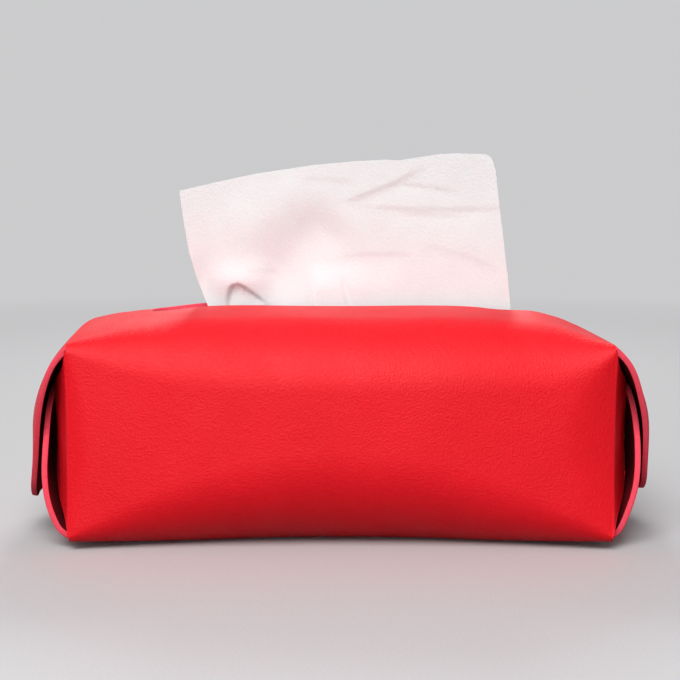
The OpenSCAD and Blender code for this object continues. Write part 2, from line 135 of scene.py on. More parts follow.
class Shader:
    """A material's node tree, built a node at a time."""

    def __init__(self, name, **values):
        self.material = bpy.data.materials.new(name)
        self.material.use_nodes = True
        self.tree = self.material.node_tree
        self.surface = self.tree.nodes["Principled BSDF"]
        for socket, value in values.items():
            self.surface.inputs[socket.replace("_", " ")].default_value = value
        self.place = self.node("ShaderNodeTexCoord").outputs["Object"]

    def node(self, kind, values=None, **settings):
        made = self.tree.nodes.new(kind)
        for key, value in settings.items():
            setattr(made, key, value)
        for socket, value in (values or {}).items():
            self.put(made.inputs[socket], value)
        return made

    def put(self, socket, value):
        if isinstance(value, bpy.types.NodeSocket):
            self.tree.links.new(value, socket)
        else:
            socket.default_value = value

    def noise(self, scale, detail=2.0, place=None, roughness=0.5):
        values = {"Vector": place or self.place, "Scale": scale, "Detail": detail, "Roughness": roughness}
        return self.node("ShaderNodeTexNoise", values).outputs[0]

    def cells(self, scale, place=None):
        values = {"Vector": place or self.place, "Scale": scale}
        return self.node("ShaderNodeTexVoronoi", values, feature="F1").outputs["Distance"]

    def stretched(self, scale, turn=(0.0, 0.0, 0.0), place=None):
        values = {"Vector": place or self.place, "Scale": scale, "Rotation": turn}
        return self.node("ShaderNodeMapping", values).outputs[0]

    def warped(self, scale, reach):
        noise = self.node("ShaderNodeTexNoise", {"Vector": self.place, "Scale": scale, "Detail": 2.0})
        push = self.node("ShaderNodeVectorMath", {0: noise.outputs["Color"], 1: (0.5, 0.5, 0.5)},
                         operation="SUBTRACT").outputs[0]
        move = self.node("ShaderNodeVectorMath", {0: push, "Scale": reach}, operation="SCALE")
        return self.node("ShaderNodeVectorMath", {0: self.place, 1: move.outputs[0]},
                         operation="ADD").outputs[0]

    def math(self, operation, *inputs):
        return self.node("ShaderNodeMath", dict(enumerate(inputs)), operation=operation).outputs[0]

    def spread(self, value, low, high, to_low=0.0, to_high=1.0):
        values = {"Value": value, "From Min": low, "From Max": high, "To Min": to_low, "To Max": to_high}
        return self.node("ShaderNodeMapRange", values, clamp=True).outputs[0]

    def axis(self, name):
        return self.node("ShaderNodeSeparateXYZ", {0: self.place}).outputs[name]

    def mix(self, share, first, second):
        made = self.node("ShaderNodeMix", data_type="RGBA")
        colours = [s for s in made.inputs if s.type == "RGBA"]
        self.put(made.inputs[0], share)
        self.put(colours[0], first)
        self.put(colours[1], second)
        return next(s for s in made.outputs if s.type == "RGBA")

    def bump(self, height, depth, strength, under=None):
        values = {"Height": height, "Distance": depth, "Strength": strength}
        if under is not None:
            values["Normal"] = under
        return self.node("ShaderNodeBump", values).outputs[0]

    def finish(self, colour=None, roughness=None, normal=None):
        for socket, value in (("Base Color", colour), ("Roughness", roughness), ("Normal", normal)):
            if value is not None:
                self.put(self.surface.inputs[socket], value)
        return self.material


def leather_face():
    """Embossed calf leather: pebble grain under a satin finish, with fine creases that follow the folds."""
    s = Shader("red_leather", Roughness=0.45, Specular_IOR_Level=0.28)
    place = s.warped(90.0, 0.0018)
    grain = s.cells(1350.0, place)
    pores = s.noise(3000.0, 2.0, place)
    along = s.noise(1.0, 3.0, s.stretched((650.0, 1900.0, 1900.0), (0.0, 0.15, 0.0), place), 0.6)
    upright = s.noise(1.0, 3.0, s.stretched((1500.0, 1100.0, 1100.0), (0.0, 0.15, 0.0), place), 0.6)
    mask = s.spread(s.math("ADD", s.axis("X"), s.math("MULTIPLY", s.noise(18.0), 0.05)), -0.055, 0.0)
    crease = s.math("ADD", s.math("MULTIPLY", along, s.math("SUBTRACT", 1.0, mask)),
                    s.math("MULTIPLY", upright, mask))
    height = s.math("ADD", s.math("MULTIPLY", grain, 0.65),
                    s.math("ADD", s.math("MULTIPLY", pores, 0.45), s.math("MULTIPLY", crease, 0.2)))
    drift = s.noise(22.0, 3.0)
    fine = s.noise(700.0, 3.0, place)
    colour = s.mix(s.spread(drift, 0.3, 0.7), (0.87, 0.003, 0.011, 1), (0.94, 0.005, 0.016, 1))
    colour = s.mix(s.spread(fine, 0.35, 0.75, 0.0, 0.3), colour, (0.98, 0.012, 0.026, 1))
    roughness = s.spread(s.noise(60.0, 3.0), 0.3, 0.7, 0.46, 0.54)
    waves = s.bump(s.noise(140.0, 3.0), 0.00016, 0.5)
    return s.finish(colour, roughness, s.bump(height, 0.00026, 0.8, waves))


def leather_edge():
    """The cut edge of the leather: open, fuzzy fibres, paler than the face."""
    s = Shader("leather_cut_edge", Roughness=0.85, Specular_IOR_Level=0.2)
    fibres = s.noise(3200.0, 4.0, None, 0.7)
    layers = s.noise(900.0, 2.0, s.warped(300.0, 0.001))
    colour = s.mix(s.spread(fibres, 0.3, 0.7), (0.98, 0.04, 0.08, 1), (1.0, 0.12, 0.18, 1))
    colour = s.mix(s.spread(layers, 0.55, 0.75, 0.0, 0.4), colour, (0.85, 0.015, 0.045, 1))
    return s.finish(colour, None, s.bump(fibres, 0.0001, 0.7))


def flesh_side_painted_dark():
    """The flesh side of the leather: short nap in drifting patches, in dark reds that are painted shade for
    the gaps at the ends.
    """
    s = Shader("flesh_side_painted_shade", Roughness=0.9, Specular_IOR_Level=0.12)
    nap = s.noise(1.0, 4.0, s.stretched((1400.0, 2600.0, 1400.0)), 0.7)
    drift = s.noise(45.0, 4.0)
    # These reds are darker than the flesh side itself: painted shade that keeps the gaps at the ends near
    # black.
    colour = s.mix(s.spread(drift, 0.3, 0.7), (0.12, 0.004, 0.008, 1), (0.18, 0.006, 0.012, 1))
    colour = s.mix(s.spread(nap, 0.4, 0.7, 0.0, 0.6), colour, (0.24, 0.01, 0.018, 1))
    return s.finish(colour, None, s.bump(nap, 0.0002, 0.7))


def tissue_paper():
    """Soft white tissue with loose fibres, a faint emboss and a little light through it."""
    s = Shader("tissue_paper", Roughness=0.95, Specular_IOR_Level=0.1, Subsurface_Weight=0.12,
               Subsurface_Radius=(0.003, 0.002, 0.002), Subsurface_Scale=0.5)
    fibres = s.noise(2200.0, 4.0, s.warped(500.0, 0.0008), 0.7)
    emboss = s.cells(1000.0)
    clouds = s.noise(120.0, 4.0)
    colour = s.mix(s.spread(fibres, 0.35, 0.65), (0.9, 0.912, 0.92, 1), (0.945, 0.96, 0.967, 1))
    colour = s.mix(s.spread(clouds, 0.4, 0.75, 0.0, 0.3), colour, (0.92, 0.885, 0.9, 1))
    height = s.math("ADD", s.math("MULTIPLY", fibres, 0.7), s.math("MULTIPLY", emboss, 0.5))
    return s.finish(colour, None, s.bump(height, 0.00024, 0.7))


def stacked_paper():
    """The cut sides of a stack of tissues, with the layer bands darker in their hollows: painted shade
    between the sheets.
    """
    s = Shader("stacked_tissue", Roughness=0.95, Specular_IOR_Level=0.1)
    layers = s.noise(1.0, 3.0, s.stretched((60.0, 60.0, 1700.0)), 0.6)
    fibres = s.noise(2400.0, 3.0)
    # The darker colour follows the hollows of the layer bump: painted shade between the sheets.
    colour = s.mix(s.spread(layers, 0.35, 0.65), (0.8, 0.76, 0.77, 1), (0.96, 0.94, 0.945, 1))
    height = s.math("ADD", layers, s.math("MULTIPLY", fibres, 0.4))
    return s.finish(colour, None, s.bump(height, 0.0003, 0.8))


def brass_metal():
    """Polished brass with the fine turning lines and handling marks of a pressed snap."""
    s = Shader("polished_brass", Metallic=1.0, Roughness=0.24)
    marks = s.noise(1.0, 3.0, s.stretched((300.0, 2600.0, 2600.0)), 0.6)
    drift = s.noise(260.0, 3.0)
    colour = s.mix(s.spread(drift, 0.3, 0.7), (0.76, 0.56, 0.24, 1), (0.88, 0.71, 0.37, 1))
    roughness = s.spread(marks, 0.3, 0.7, 0.18, 0.34)
    return s.finish(colour, roughness, s.bump(marks, 0.00002, 0.5))


def waxed_thread():
    """Twisted thread, with the twist as slanting ridges and painted shade in its grooves."""
    s = Shader("waxed_thread", Roughness=0.6, Specular_IOR_Level=0.4)
    place = s.stretched((1.0, 1.0, 1.0), (0.0, 0.6, 0.6))
    wave = s.node("ShaderNodeTexWave", {"Vector": place, "Scale": 420.0, "Distortion": 1.5}).outputs["Fac"]
    # The colour follows the twist's wave, darker in its grooves: painted shade.
    colour = s.mix(s.spread(wave, 0.2, 0.8), (0.3, 0.008, 0.02, 1), (0.6, 0.03, 0.06, 1))
    return s.finish(colour, None, s.bump(wave, 0.0002, 0.8))


FACE = leather_face()
EDGE = leather_edge()
BACK = flesh_side_painted_dark()
PAPER = tissue_paper()
STACKED = stacked_paper()
BRASS = brass_metal()
THREAD = waxed_thread()
LEATHER_SET = (FACE, BACK, EDGE)
# The tabs' cut edges take the dark flesh side, not the pink cut edge: painted shade where they show in the
# gaps at the ends.
TAB_SET_PAINTED_SHADE = (FACE, BACK, BACK)


# Meshes

def added(name, data):
    """A new object of the scene, from its mesh, lamp or camera."""
    made = bpy.data.objects.new(name, data)
    bpy.context.scene.collection.objects.link(made)
    return made


def unit(vectors):
    """The same vectors, each with a length of 1."""
    return vectors / np.maximum(np.linalg.norm(vectors, axis=-1, keepdims=True), TINY)


def make_object(name, points, faces, materials, kinds, creased):
    """A smooth mesh object from points in millimetres.

    kinds gives each face its material, and creased holds the edges that stay sharp."""
    mesh = bpy.data.meshes.new(name)
    points = np.asarray(points, float)
    faces = np.asarray(faces)
    used = np.unique(faces)
    place = np.full(len(points), -1)
    place[used] = np.arange(len(used))
    mesh.from_pydata((points[used] * METRE).tolist(), [], place[faces].tolist())
    for material in materials:
        mesh.materials.append(material)
    mesh.polygons.foreach_set("use_smooth", np.ones(len(faces), bool))
    mesh.polygons.foreach_set("material_index", np.asarray(kinds, np.int32))
    ends = np.empty(len(mesh.edges) * 2, np.int64)
    mesh.edges.foreach_get("vertices", ends)
    ends = np.sort(ends.reshape(-1, 2), axis=1)
    wanted = np.sort(place[creased], axis=1)
    size = len(used)
    sharp = np.isin(ends[:, 0] * size + ends[:, 1], wanted[:, 0] * size + wanted[:, 1])
    layer = mesh.attributes.new("sharp_edge", "BOOLEAN", "EDGE")
    layer.data.foreach_set("value", sharp)
    mesh.update()
    return added(name, mesh)


def shell(name, outer, inner, materials, kept=None, soft=None, rounding=EDGE_ROUND):
    """A closed wall between an outer and an inner grid of points.

    kept says which cells of the grid are there, and every border gets a cut edge. Where soft is 1,
    that edge is rounded and stands out by the rounding; where it is 0, it is flat."""
    rows, columns = outer.shape[:2]
    count = rows * columns
    kept = np.ones((rows - 1, columns - 1), bool) if kept is None else kept
    soft = np.ones(count) if soft is None else soft.reshape(-1)
    index = np.arange(count).reshape(rows, columns)
    quads = np.stack([index[:-1, :-1][kept], index[:-1, 1:][kept],
                      index[1:, 1:][kept], index[1:, :-1][kept]], axis=1)
    front = outer.reshape(-1, 3)
    back = inner.reshape(-1, 3)
    wall = back - front
    thick = np.linalg.norm(wall, axis=1, keepdims=True)
    normal = -unit(wall)
    across = np.cross(front[quads[:, 1]] - front[quads[:, 0]], front[quads[:, 3]] - front[quads[:, 0]])
    if np.median(np.einsum("ij,ij->i", across, normal[quads[:, 0]])) < 0:
        quads = quads[:, ::-1]
    starts = quads.reshape(-1)
    stops = np.roll(quads, -1, axis=1).reshape(-1)
    border = ~np.isin(starts * count + stops, stops * count + starts)
    starts, stops = starts[border], stops[border]
    away = np.zeros((count, 3))
    turn = unit(np.cross(front[stops] - front[starts], normal[starts]))
    np.add.at(away, starts, turn)
    np.add.at(away, stops, turn)
    away = unit(away)
    rim = np.unique(starts)
    most_share, first_share, proud_share = 0.4, 0.3, 0.7
    share = np.minimum(rounding / thick[rim], most_share)
    first = first_share * share
    reach = rounding * soft[rim][:, None]
    steps = ((first, proud_share), (share, 1.0), (1 - share, 1.0), (1 - first, proud_share))
    levels = [front[rim] + wall[rim] * down + away[rim] * reach * out for down, out in steps]
    points = np.concatenate([front, back] + levels)
    ring = np.full(count, -1)
    ring[rim] = np.arange(len(rim))
    ladder = [np.arange(count)]
    ladder += [2 * count + k * len(rim) + ring for k in range(len(levels))]
    ladder += [np.arange(count) + count]
    faces = [quads, quads[:, ::-1] + count]
    for upper, lower in zip(ladder[:-1], ladder[1:]):
        faces.append(np.stack([upper[stops], upper[starts], lower[starts], lower[stops]], axis=1))
    kinds = np.concatenate([np.full(len(quads), 0), np.full(len(quads), 1),
                            np.full(len(starts) * (len(ladder) - 1), 2)])
    creased = np.concatenate([np.stack([starts, stops], 1), np.stack([starts, stops], 1) + count])
    return make_object(name, points, np.concatenate(faces), materials, kinds, creased)


def grid_normals(grid):
    """The unit normals of a grid of points, row step crossed with column step."""
    return unit(np.cross(np.gradient(grid, axis=0), np.gradient(grid, axis=1)))


def ripple(a, b, waves):
    """A calm unevenness from a few waves of two coordinates in millimetres, at most about 1.

    Each wave is its weight, its two lengths over 2 pi and its start."""
    second_start = 1.7
    total = sum(w * np.sin(a / p + s) * np.sin(b / q + second_start * s) for w, p, q, s in waves)
    return total / sum(w for w, p, q, s in waves)


UNEVEN = ((1.0, 17.0, 14.0, 0.3), (0.8, 9.5, 23.0, 1.9), (0.5, 6.5, 8.0, 3.1), (0.35, 4.1, 5.2, 4.4))
WRAP_UNEVEN = 0.28
FLAP_UNEVEN = 0.25
TAB_UNEVEN = 0.2


# The wrap

# Soft heaps along the top, each as its height, its place and its reach
CROWN_HEAPS = ((1.1, 86.0, 11.0), (-0.5, 64.0, 9.0), (-1.5, -73.0, 17.0))
SLOT_HEAPS = ((-0.9, 0.0, 48.0), (0.7, 78.0, 13.0), (0.3, -65.0, 20.0))
SLOT_RISE = 1.3
RISE_END = 94.0
RISE_FADE = 22.0
# The line behind which the top sinks, and how far, each at the left and at the right
RIDGE_PLACES = (8.2, -9.0)
RIDGE_FALLS = (2.0, 3.4)
RIDGE_TURN = 20.0
RIDGE_SPAN = 40.0
FALL_END_SHARE = 0.9
TOP_POWER = 4
SIDE_POWER = 4


def half_depth(x):
    """Half the depth of the belly."""
    return END_DEPTH / 2 + BELLY * (1 - (abs(x) / HALF) ** 2)


def low_level(x):
    """The height of the underside, which lifts towards the ends."""
    return LIFT * (max(0.0, abs(x) - FLAT_HALF) / (HALF - FLAT_HALF)) ** 2


def high_level(x):
    """The height of the top before its dome."""
    return between(CREST - DOME, CORNER, (abs(x) / HALF) ** CREST_POWER)


def heaps(x, base, table):
    """A base level with soft heaps on it."""
    for height, place, reach in table:
        base += height * math.exp(-((x - place) / reach) ** 2)
    return base


def bent(x, y, z):
    """The swell, dome and tilt that a square section gets."""
    u = abs(x) / HALF
    half = half_depth(x)
    high = high_level(x)
    middle = (high + low_level(x)) / 2
    up = (z - middle) / (high - middle)
    side = y / half
    crown = between(DOME, CROWN_LEFT if x < 0 else 0.0, u ** CREST_POWER) + heaps(x, 0.0, CROWN_HEAPS)
    drop = DROP_RIGHT * u ** CREST_POWER if x > 0 else 0.0
    raised = smooth((RISE_END - abs(x)) / RISE_FADE)
    turned = smooth((x - RIDGE_TURN) / RIDGE_SPAN)
    ridge_line = between(*RIDGE_PLACES, turned)
    fall = between(*RIDGE_FALLS, turned) + SLOT_RISE
    behind = np.clip((y - ridge_line) / (FALL_END_SHARE * half - ridge_line), 0, 1)
    heap = raised * (heaps(x, SLOT_RISE, SLOT_HEAPS) - fall * np.sin(np.pi * behind))
    heap = heap * (1 - np.clip(-side, 0, 1) ** 2)
    out = np.sign(y) * SWELL * (1 - u ** 2) * side ** SIDE_POWER * (1 - up ** 2)
    rise = crown * (1 - side ** 2) - drop * (1 + side) / 2 + heap
    return y + out, z + rise * np.clip(up, 0, None) ** TOP_POWER


ARC_STEPS = 18
TOP_EDGE_STEPS = 24
SLOT_HALF = SLOT_WIDTH / 2 + EDGE_ROUND
SLOT_COLUMNS = 18
LAPPED_POINTS = 5
JOGGLE_POINTS = 7
UNDER_STEPS = 8
FRONT_STEPS = 34
BACK_STEPS = 24
UNDER_BACK_STEPS = 12


def section(x):
    """The cover's outer face at one station as (y, z) points, from the inner lapped edge to the outer."""
    u = abs(x) / HALF
    half = half_depth(x)
    deep = between(LOWER_DEPTH, FOLD_RADIUS, u ** ROLL_POWER)
    tall = between(LOWER_HEIGHT, FOLD_RADIUS, u ** ROLL_POWER)
    top_r = between(ROLL_RADIUS, FOLD_RADIUS, u ** ENDS["left" if x < 0 else "right"]["roll_power"])
    low = low_level(x)
    high = high_level(x)
    flat = half - deep
    top_flat = half - top_r
    rise = LEATHER + GLUE

    def arc(y, z, start, wide, high):
        t = np.radians(start - np.linspace(0, 90, ARC_STEPS + 1))
        return np.stack([y + wide * np.cos(t), z + high * np.sin(t)], axis=1)

    def line(y0, z0, y1, z1, steps):
        t = np.linspace(0, 1, steps + 1)[1:-1, None]
        return np.array([y0, z0]) * (1 - t) + np.array([y1, z1]) * t

    lapped = np.stack([np.linspace(LAP / 2, -LAP / 2, LAPPED_POINTS),
                       np.full(LAPPED_POINTS, low + rise)], axis=1)
    t = np.linspace(0, 1, JOGGLE_POINTS + 1)[1:]
    step = np.stack([-LAP / 2 - JOGGLE * t, low + rise * (1 - smooth(t))], axis=1)
    under = line(-LAP / 2 - JOGGLE, low, -flat, low, UNDER_STEPS)
    body = np.concatenate([
        arc(-flat, low + tall, 270, deep, tall),
        line(-half, low + tall, -half, high - top_r, FRONT_STEPS),
        arc(-top_flat, high - top_r, 180, top_r, top_r),
        line(-top_flat, high, -SLOT_HALF, high, TOP_EDGE_STEPS),
        np.stack([np.linspace(-SLOT_HALF, SLOT_HALF, SLOT_COLUMNS + 1),
                  np.full(SLOT_COLUMNS + 1, high)], axis=1),
        line(SLOT_HALF, high, top_flat, high, TOP_EDGE_STEPS),
        arc(top_flat, high - top_r, 90, top_r, top_r),
        line(half, high - top_r, half, low + tall, BACK_STEPS),
        arc(flat, low + tall, 0, deep, tall)])
    back = line(flat, low, LAP_EDGE, low, UNDER_BACK_STEPS)
    y, z = bent(x, body[:, 0], body[:, 1])
    end = np.array([[LAP_EDGE, low]])
    return np.concatenate([lapped, step, under, np.stack([y, z], axis=1), back, end])


# Where the top part of a section starts and stops, counted in its points
FRONT_TOP = LAPPED_POINTS + JOGGLE_POINTS + UNDER_STEPS - 1 + ARC_STEPS + FRONT_STEPS
BACK_TOP = FRONT_TOP + 2 * (ARC_STEPS + 1) + 2 * (TOP_EDGE_STEPS - 1) + SLOT_COLUMNS + 1


def station_places():
    """Where the sections stand along the cover, closer at its ends and at the slot's round tips."""
    end_zone, next_zone = 6.0, 22.5
    beyond, within = 4.0, 10.0
    least_step = 0.3
    ends = np.concatenate([np.linspace(0, end_zone, 10), np.linspace(end_zone, next_zone, 12)[1:]])
    slot = SLOT_LENGTH / 2 + EDGE_ROUND
    left, right = SLOT_MIDDLE - slot, SLOT_MIDDLE + slot
    left_tip = np.linspace(left - beyond, left + within, 17)
    right_tip = np.linspace(right - within, right + beyond, 17)
    middle = np.linspace(left_tip[-1], right_tip[0], 62)[1:-1]
    places = np.sort(np.concatenate([ends - HALF, HALF - ends, left_tip, right_tip, middle]))
    places = places[np.concatenate([[True], np.diff(places) > least_step])]
    places[0], places[-1] = -HALF, HALF
    return places


def slot_distance(x, y, half_width):
    """The signed distance from the slot's outline, less than 0 inside it."""
    straight = (SLOT_LENGTH - SLOT_WIDTH) / 2
    along = np.clip(x - SLOT_MIDDLE, -straight, straight) + SLOT_MIDDLE
    return np.hypot(x - along, y) - half_width, along


def curl_share(z):
    """How much of the curl an end's front and back edges have at a height: none at the corners."""
    foot, both, power = 2.0, 6.0, 0.75
    t = np.clip((z - LIFT - foot) / (CORNER - LIFT - both), 0, 1)
    return np.sin(np.pi * t) ** power


def curl_in(outer):
    """Curls the front and back edges of both ends inwards."""
    panel_start, panel_fade, least = 44.0, 8.0, 0.01
    for facts in ENDS.values():
        height = curl_share(outer[:, :, 2])
        reach = facts["reach"] * height + least
        start = np.clip((outer[:, :, 0] * facts["side"] - (HALF - reach)) / reach, 0, None)
        way = np.sign(outer[:, :, 1])
        panel = smooth((np.abs(outer[:, :, 1]) - panel_start) / panel_fade)
        outer[:, :, 1] -= facts["curl"] * height * start ** CURL_POWER * way * panel


def corners_of(cells):
    """Which points of a grid touch a marked cell."""
    touched = np.zeros((cells.shape[0] + 1, cells.shape[1] + 1), bool)
    for rows in (slice(None, -1), slice(1, None)):
        for columns in (slice(None, -1), slice(1, None)):
            touched[rows, columns] |= cells
    return touched


def fit_to_slot(outer, places, rim, along):
    """Moves the points of the slot's rim onto its outline, at the height of the top there."""
    for i, j in zip(*np.nonzero(rim)):
        middle = along[i, j]
        out = np.array([outer[i, j, 0] - middle, outer[i, j, 1]])
        out = out / np.linalg.norm(out) * SLOT_HALF
        x, y = middle + out[0], out[1]
        level = np.interp(x, places, np.arange(len(places)))
        before = int(min(level, len(places) - 2))
        heights = [np.interp(y, *section_top(places[k]).T) for k in (before, before + 1)]
        outer[i, j] = (x, y, between(heights[0], heights[1], level - before))


def build_wrap():
    """The front, top, back and underside as one band of leather, with the slot in its top."""
    places = station_places()
    outer = np.array([[(x, y, z) for y, z in section(x)] for x in places])
    curl_in(outer)
    top = np.zeros(outer.shape[:2], bool)
    top[:, FRONT_TOP + ARC_STEPS:BACK_TOP - ARC_STEPS] = True
    far = 99.0
    distance, along = slot_distance(outer[:, :, 0], outer[:, :, 1], SLOT_HALF)
    distance[~top] = far
    middle = (distance[:-1, :-1] + distance[1:, :-1] + distance[1:, 1:] + distance[:-1, 1:]) / 4
    kept = middle > 0
    fit_to_slot(outer, places, corners_of(~kept) & corners_of(kept) & top, along)
    normal = grid_normals(outer)
    normal[[0, -1], :, 0] = 0
    normal = unit(normal)
    centre = np.array([0.0, 0.0, CORNER / 2])
    if np.median(np.einsum("ijk,ijk->ij", normal, outer - centre)) < 0:
        normal = -normal
    end_fade, foot, slot_rim, fade = 14.0, 6.0, 1.0, 10.0
    axis_height, girth_radius = 45.0, 50.0
    from_end = HALF - np.abs(outer[:, :, 0])
    calm = smooth(from_end / end_fade) * smooth((outer[:, :, 2] - foot) / fade)
    calm = calm * smooth((distance - slot_rim) / fade)
    girth = np.arctan2(outer[:, :, 1], outer[:, :, 2] - axis_height) * girth_radius
    bumps = ripple(outer[:, :, 0], girth, UNEVEN)
    outer = outer + normal * (WRAP_UNEVEN * bumps * calm)[:, :, None]
    inner = outer - normal * LEATHER
    soft = np.ones(outer.shape[:2])
    soft[0] = soft[-1] = 0
    wrap = shell("leather_wrap", outer, inner, LEATHER_SET, kept, soft)
    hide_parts("wrap")
    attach(wrap, "cover")
    return outer


def section_top(x):
    """The top part of one section, as (y, z) in rising y."""
    return section(x)[FRONT_TOP:BACK_TOP]


wrap_outer = build_wrap()


# The end flaps and the side tabs

TIP_STEPS = 10


def contour(knots):
    """A smooth line through measured (x, z) points, with short steps near its start."""
    near, short_step, step = 7.0, 0.5, 1.2
    knots = np.array(knots, float)
    for _ in range(2):
        knots[1:-1] = (knots[:-2] + 6 * knots[1:-1] + knots[2:]) / 8
    padded = np.concatenate([[2 * knots[0] - knots[1]], knots, [2 * knots[-1] - knots[-2]]])
    fine = []
    for a, b, c, d in zip(padded[:-3], padded[1:-2], padded[2:-1], padded[3:]):
        t = np.linspace(0, 1, 12, endpoint=False)[:, None]
        fine.append(0.5 * (2 * b + (c - a) * t + (2 * a - 5 * b + 4 * c - d) * t ** 2
                           + (3 * b - a - 3 * c + d) * t ** 3))
    fine = np.concatenate(fine + [knots[-1:]])
    length = np.concatenate([[0], np.cumsum(np.linalg.norm(np.diff(fine, axis=0), axis=1))])
    wanted = np.concatenate([np.arange(0, near, short_step),
                             np.arange(near, length[-1] - short_step, step), [length[-1]]])
    return np.stack([np.interp(wanted, length, fine[:, k]) for k in (0, 1)], axis=1)


def flap_grid(edge, middle, lift, root, tip, root_half, taper):
    """The outer face of a flap, from its fold to its round tip.

    edge is the line of its front edge, and middle gives x along its middle, where the snap sits flat."""
    columns = 46
    seat_margin = 0.65
    way = 1 if tip > root else -1
    last = tip - way * TIP_RADIUS

    def edge_x(z):
        return np.interp(way * z, way * edge[:, 1], edge[:, 0])

    def half_width(z):
        return between(root_half, TIP_HALF, ((z - root) / (tip - root)) ** taper)

    levels = [(x, z) for x, z in edge if way * z < way * last]
    levels.append((edge_x(last), last))
    widths = [half_width(z) for x, z in levels]
    for t in np.radians(np.linspace(0, 90, TIP_STEPS + 1)[1:]):
        z = last + way * TIP_RADIUS * math.sin(t)
        levels.append((edge_x(z), z))
        widths.append(half_width(z) - TIP_RADIUS * (1 - math.cos(t)))
    share = np.linspace(-1, 1, columns + 1)
    grid = np.zeros((len(levels), columns + 1, 3))
    for i, ((x, z), w) in enumerate(zip(levels, widths)):
        y = share * w
        k = np.clip(np.abs(y) - SNAP_SEAT - seat_margin, 0, None) / (w - SNAP_SEAT - seat_margin)
        grid[i, :, 0] = between(middle(z), x, k ** 2)
        grid[i, :, 1] = y
        grid[i, :, 2] = z + lift(y, z)
    return grid


def finish_flap(name, grid, side, node):
    """Gives a flap its thickness and a calm unevenness."""
    root_share, seat, fade, shift = 0.25, 7.0, 8.0, 13
    normal = grid_normals(grid)
    if np.median(normal[:, :, 0]) < 0:
        normal = -normal
    normal[-TIP_STEPS:] = normal[-TIP_STEPS - 1]
    t = np.linspace(0, 1, grid.shape[0])[:, None]
    bumps = ripple(grid[:, :, 1] + shift * side, grid[:, :, 2], UNEVEN)
    from_snap = np.hypot(grid[:, :, 1], grid[:, :, 2] - SNAP_HEIGHT)
    calm = smooth(t / root_share) * smooth((from_snap - seat) / fade)
    grid = grid + normal * (FLAP_UNEVEN * bumps * calm)[:, :, None]
    inner = grid - normal * LEATHER
    inner[0, :, 0] = HALF
    soft = np.ones(grid.shape[:2])
    soft[0] = 0
    flip = np.array([side, 1.0, 1.0])
    flap = shell(name, grid * flip, inner * flip, LEATHER_SET, None, soft)
    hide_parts(node)
    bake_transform(flap)


FLARE_START = 29.0
INNER_NOD = 15.9
INNER_INSET = 6.0
OUTER_TAPER = 1.8
INNER_TAPER = 3


def build_flaps(end, facts):
    """The outer flap, which hangs from the top, and the inner one, which stands up from the underside."""
    side = facts["side"]
    ring = wrap_outer[0 if side < 0 else -1]
    top = ring[FRONT_TOP:BACK_TOP]
    edge = contour(facts["outer"])

    def middle(z):
        t = np.clip((z - OUTER_STRAIGHT) / (CORNER - OUTER_STRAIGHT), 0, 1)
        flare = facts["flare"] * np.clip((FLARE_START - z) / (FLARE_START - facts["tip"]), 0, 1) ** 2
        return HALF + (OUTER_MIDDLE - HALF) * (1 - t * t) + flare

    def lift(y, z):
        t = np.clip((z - OUTER_STRAIGHT) / (CORNER - OUTER_STRAIGHT), 0, 1)
        return t * (np.interp(y, top[:, 1], top[:, 2]) - CORNER)

    half = END_DEPTH / 2 - FOLD_RADIUS / 2
    grid = flap_grid(edge, middle, lift, CORNER, facts["tip"], half, OUTER_TAPER)
    finish_flap(f"outer_flap_{end}", grid, side, f"top_flap_{end}")

    edge = contour(facts["inner"])

    def inner_middle(z):
        t = np.clip((INNER_STRAIGHT - z) / (INNER_STRAIGHT - LIFT), 0, 1)
        nod = INNER_NOD * np.clip((z - OUTER_STRAIGHT) / (CORNER - OUTER_STRAIGHT), 0, 1) ** 2
        return HALF + (INNER_MIDDLE - HALF) * (1 - t * t) - nod

    half = END_DEPTH / 2 - INNER_INSET
    grid = flap_grid(edge, inner_middle, lambda y, z: 0 * y, LIFT, INNER_TIP, half, INNER_TAPER)
    finish_flap(f"inner_flap_{end}", grid, side, f"bottom_flap_{end}")


def tab_path(facts):
    """A tab's line seen from above: its points, and each one's length, heading and inset at the round tip."""
    bow_depth = 0.6
    start = math.atan2(CURL_POWER * facts["curl"], facts["reach"])
    turned = math.radians(TAB_ANGLE)
    bend = TAB_BEND * (turned - start)
    arc = np.linspace(0, 1, 9)
    angles = start + (turned - start) * arc
    path = [np.array([HALF, -END_DEPTH / 2])]
    for a, b in zip(angles[:-1], angles[1:]):
        t = (a + b) / 2
        path.append(path[-1] + TAB_BEND * (b - a) * np.array([math.cos(t), math.sin(t)]))
    straight = TAB_REACH - bend
    near = straight - TAB_RADIUS
    run = [near * t for t in np.linspace(0, 1, 14)[1:]]
    turns = np.radians(np.linspace(0, 90, 9)[1:])
    offsets = run + [near + TAB_RADIUS * math.sin(t) for t in turns]
    insets = [0.0] * (len(arc) + len(run)) + [TAB_RADIUS * (1 - math.cos(t)) for t in turns]
    heading = np.array([math.cos(turned), math.sin(turned)])
    side_way = np.array([math.sin(turned), -math.cos(turned)])
    corner = path[-1]
    for o in offsets:
        bow = bow_depth * math.sin(math.pi * min(1, o / straight))
        path.append(corner + heading * o + side_way * bow)
    lengths = [bend * a for a in arc] + [bend + o for o in offsets]
    headings = np.concatenate([angles, np.full(len(offsets), turned)])
    return path, lengths, headings, insets


